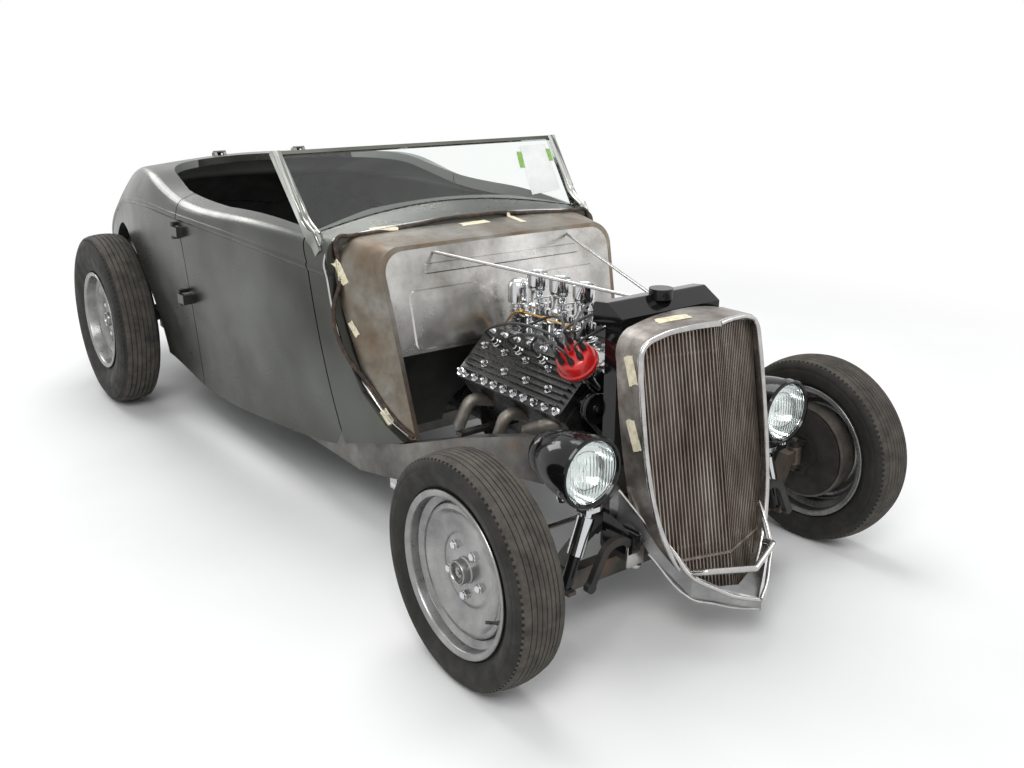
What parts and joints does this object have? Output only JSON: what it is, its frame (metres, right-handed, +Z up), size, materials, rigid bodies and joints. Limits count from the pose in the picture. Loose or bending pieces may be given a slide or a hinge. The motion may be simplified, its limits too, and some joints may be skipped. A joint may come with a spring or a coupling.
{
  "type": "street rod roadster",
  "caption": "Open two-seat roadster of the 1930s pattern in bare metal, with exposed engine, upright V grille, raked windshield, hinged doors and deck lid.",
  "frame": {"origin": "centre of the car's bounding box on the floor", "axes": "+Z up, -Y to the front of the car, +X to the car's left"},
  "size_m": [1.6448, 3.922, 1.252],
  "materials": {
    "bare_steel": "bare sheet metal, lightly marked",
    "weathered_steel": "bare body steel with surface rust and grinding marks",
    "tyre_rubber": "dusty black rubber",
    "wheel_steel": "bare steel",
    "drum_black": "black cast iron",
    "frame_steel": "bare steel with surface rust",
    "glass": "clear",
    "chrome": "polished",
    "grille_steel": "bare steel blades",
    "alloy": "cast and machined",
    "engine_paint": "dark engine enamel",
    "black_metal": "gloss black",
    "pipe_steel": "heat stained steel",
    "cap_red": "red moulded cap",
    "lens_glass": "clear"
  },
  "bodies": {
    "chassis": {"frame": "frame_steel", "cowl": "weathered_steel", "rear_body": "weathered_steel", "firewall": "bare_steel", "floor_pan": "bare_steel", "windshield_frame": "chrome", "windshield_glass": "glass", "grille_shell": "bare_steel", "grille_bars": "grille_steel", "front_apron": "bare_steel", "guard_bar": "chrome", "radiator": "black_metal", "support_rods": "bare_steel", "engine_block": "engine_paint", "cylinder_heads": "engine_paint", "intake": "alloy", "exhaust_pipes": "pipe_steel", "distributor": "cap_red", "front_drive": "black_metal", "rear_axle": "black_metal", "rear_spring": "black_metal", "fuel_tank": "bare_steel", "front_axle": "black_metal", "front_spring": "black_metal", "radius_rods": "black_metal", "headlamp_buckets": "black_metal", "headlamp_lenses": "lens_glass", "headlamp_stands": "chrome", "front_shocks": "chrome"},
    "knuckle_left": {"knuckle_left": "black_metal"},
    "knuckle_right": {"knuckle_right": "black_metal"},
    "tie_rod": {"tie_rod": "bare_steel"},
    "front_wheel_left": {"front_tyre_left": "tyre_rubber", "front_wheel_left": "wheel_steel", "front_drum_left": "drum_black"},
    "front_wheel_right": {"front_tyre_right": "tyre_rubber", "front_wheel_right": "wheel_steel", "front_drum_right": "drum_black"},
    "rear_wheel_left": {"rear_tyre_left": "tyre_rubber", "rear_wheel_left": "wheel_steel"},
    "rear_wheel_right": {"rear_tyre_right": "tyre_rubber", "rear_wheel_right": "wheel_steel"},
    "door_left": {"door_left": "weathered_steel"},
    "door_right": {"door_right": "weathered_steel"},
    "deck_lid": {"deck_lid": "weathered_steel"}
  },
  "joints": [
    {"name": "steer_left", "type": "hinge", "parent": "chassis", "child": "knuckle_left", "pos_m": [0.585, -1.589, 0.311], "axis": [0, 0, 1], "range_deg": [-30, 30]},
    {"name": "front_wheel_left_spin", "type": "hinge", "parent": "knuckle_left", "child": "front_wheel_left", "pos_m": [0.6955, -1.589, 0.311], "axis": [1, 0, 0], "continuous": true},
    {"name": "rear_wheel_left_spin", "type": "hinge", "parent": "chassis", "child": "rear_wheel_left", "pos_m": [0.7325, 1.256, 0.389], "axis": [1, 0, 0], "continuous": true},
    {"name": "door_left_hinge", "type": "hinge", "parent": "chassis", "child": "door_left", "pos_m": [0.703, 0.414, 0.77], "axis": [0, 0, 1], "range_deg": [0, 65]},
    {"name": "steer_right", "type": "hinge", "parent": "chassis", "child": "knuckle_right", "pos_m": [-0.585, -1.589, 0.311], "axis": [0, 0, 1], "range_deg": [-30, 30]},
    {"name": "front_wheel_right_spin", "type": "hinge", "parent": "knuckle_right", "child": "front_wheel_right", "pos_m": [-0.6955, -1.589, 0.311], "axis": [1, 0, 0], "continuous": true},
    {"name": "rear_wheel_right_spin", "type": "hinge", "parent": "chassis", "child": "rear_wheel_right", "pos_m": [-0.7325, 1.256, 0.389], "axis": [1, 0, 0], "continuous": true},
    {"name": "door_right_hinge", "type": "hinge", "parent": "chassis", "child": "door_right", "pos_m": [-0.703, 0.414, 0.77], "axis": [0, 0, -1], "range_deg": [0, 65]},
    {"name": "tie_rod_pivot", "type": "hinge", "parent": "knuckle_left", "child": "tie_rod", "pos_m": [0.585, -1.439, 0.255], "axis": [0, 0, 1], "range_deg": [-30, 30]},
    {"name": "deck_lid_hinge", "type": "hinge", "parent": "chassis", "child": "deck_lid", "pos_m": [0, 1.168, 1.122], "axis": [1, 0, 0], "range_deg": [0, 50]}
  ],
  "couplings": [
    {"joint": "steer_right", "follows": "steer_left", "ratio": 1},
    {"joint": "tie_rod_pivot", "follows": "steer_left", "ratio": -1}
  ]
}
